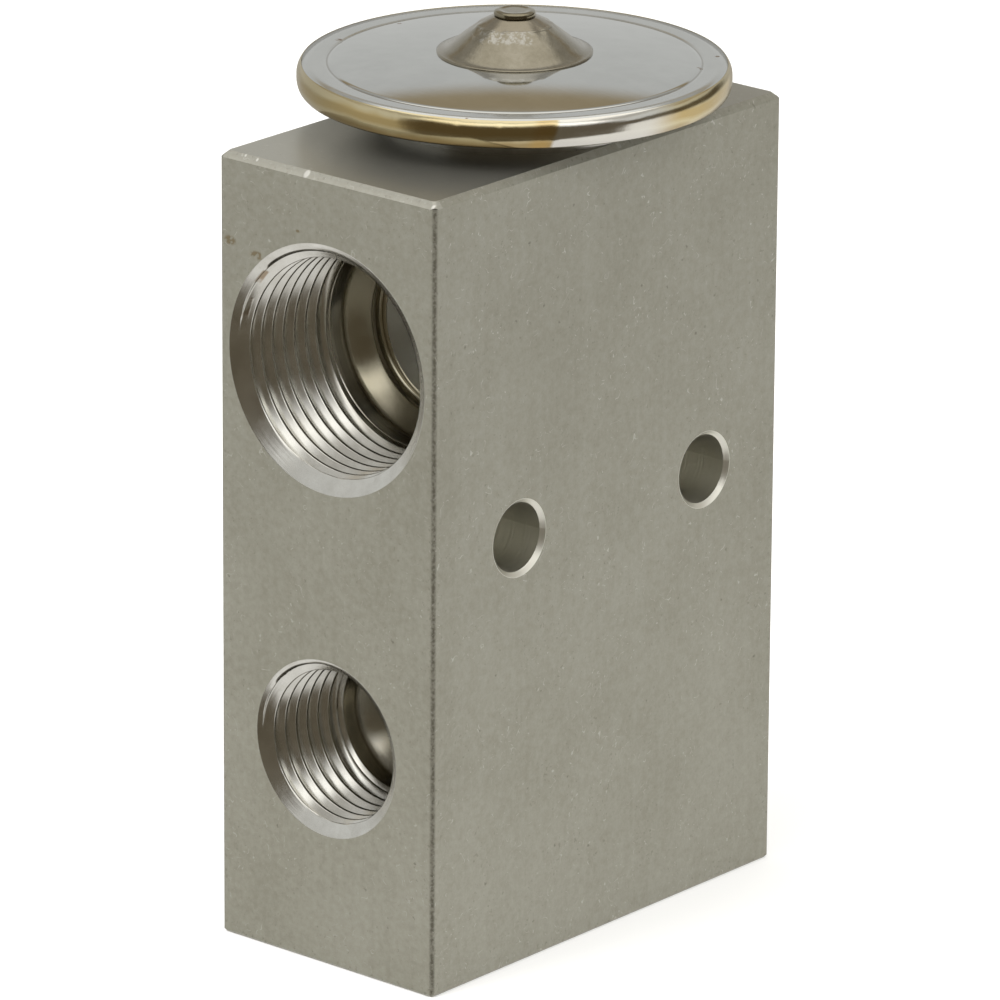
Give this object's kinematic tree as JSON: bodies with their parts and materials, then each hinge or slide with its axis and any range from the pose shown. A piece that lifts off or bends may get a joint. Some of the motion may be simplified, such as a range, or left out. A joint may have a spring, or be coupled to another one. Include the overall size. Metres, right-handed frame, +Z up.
{
  "type": "block-type thermal expansion valve",
  "caption": "Aluminium block expansion valve with threaded tube ports, cross bolt holes and a welded diaphragm head that works a ball through a rod.",
  "frame": {"origin": "centre of the block's flat bottom face", "axes": "+Z up along the valve axis towards the diaphragm head; -Y is the face with the suction outlet and liquid inlet ports; +X and -X are the wide faces with the bolt holes"},
  "size_m": [0.0403, 0.049, 0.0863],
  "materials": {
    "extruded_aluminium": "fine satin, as extruded and machined",
    "cover_steel": "bright drawn stainless sheet",
    "turned_steel": "turned stainless steel",
    "plug_steel": "satin warm grey",
    "weld_metal": "heat-tinted weld bead",
    "diaphragm_steel": "thin spring-hard stainless sheet",
    "pad_brass": "turned brass",
    "rod_aluminium": "turned",
    "ball_steel": "polished",
    "spring_steel": "drawn wire",
    "seal_rubber": "matte dark green",
    "screw_brass": "turned brass"
  },
  "bodies": {
    "valve_body": {"valve_block": "extruded_aluminium", "head_lower_cover": "turned_steel", "head_top_cover": "cover_steel", "diaphragm": "diaphragm_steel", "charge_plug": "plug_steel", "rim_weld": "weld_metal", "head_seal": "seal_rubber", "rod_seal": "seal_rubber", "rod_seal_retainer": "spring_steel", "valve_spring": "spring_steel"},
    "valve_train": {"diaphragm_pad": "pad_brass", "sensing_rod": "rod_aluminium", "push_pin": "ball_steel", "valve_ball": "ball_steel", "ball_carrier": "turned_steel", "damper_spring": "spring_steel"},
    "setting_screw": {"adjusting_screw": "screw_brass", "screw_seal": "seal_rubber"}
  },
  "joints": [
    {"name": "valve_stroke", "type": "slide", "parent": "valve_body", "child": "valve_train", "axis": [0, 0, -1], "range_m": [0, 0.0006], "stiffness_N_per_m": 8000, "springref_m": -0.004, "deforming": ["valve_spring"]},
    {"name": "setting_screw_turn", "type": "hinge", "parent": "valve_body", "child": "setting_screw", "pos_m": [0, 0.0015, 0.0009], "axis": [0, 0, 1], "range_deg": [-360, 360]}
  ]
}
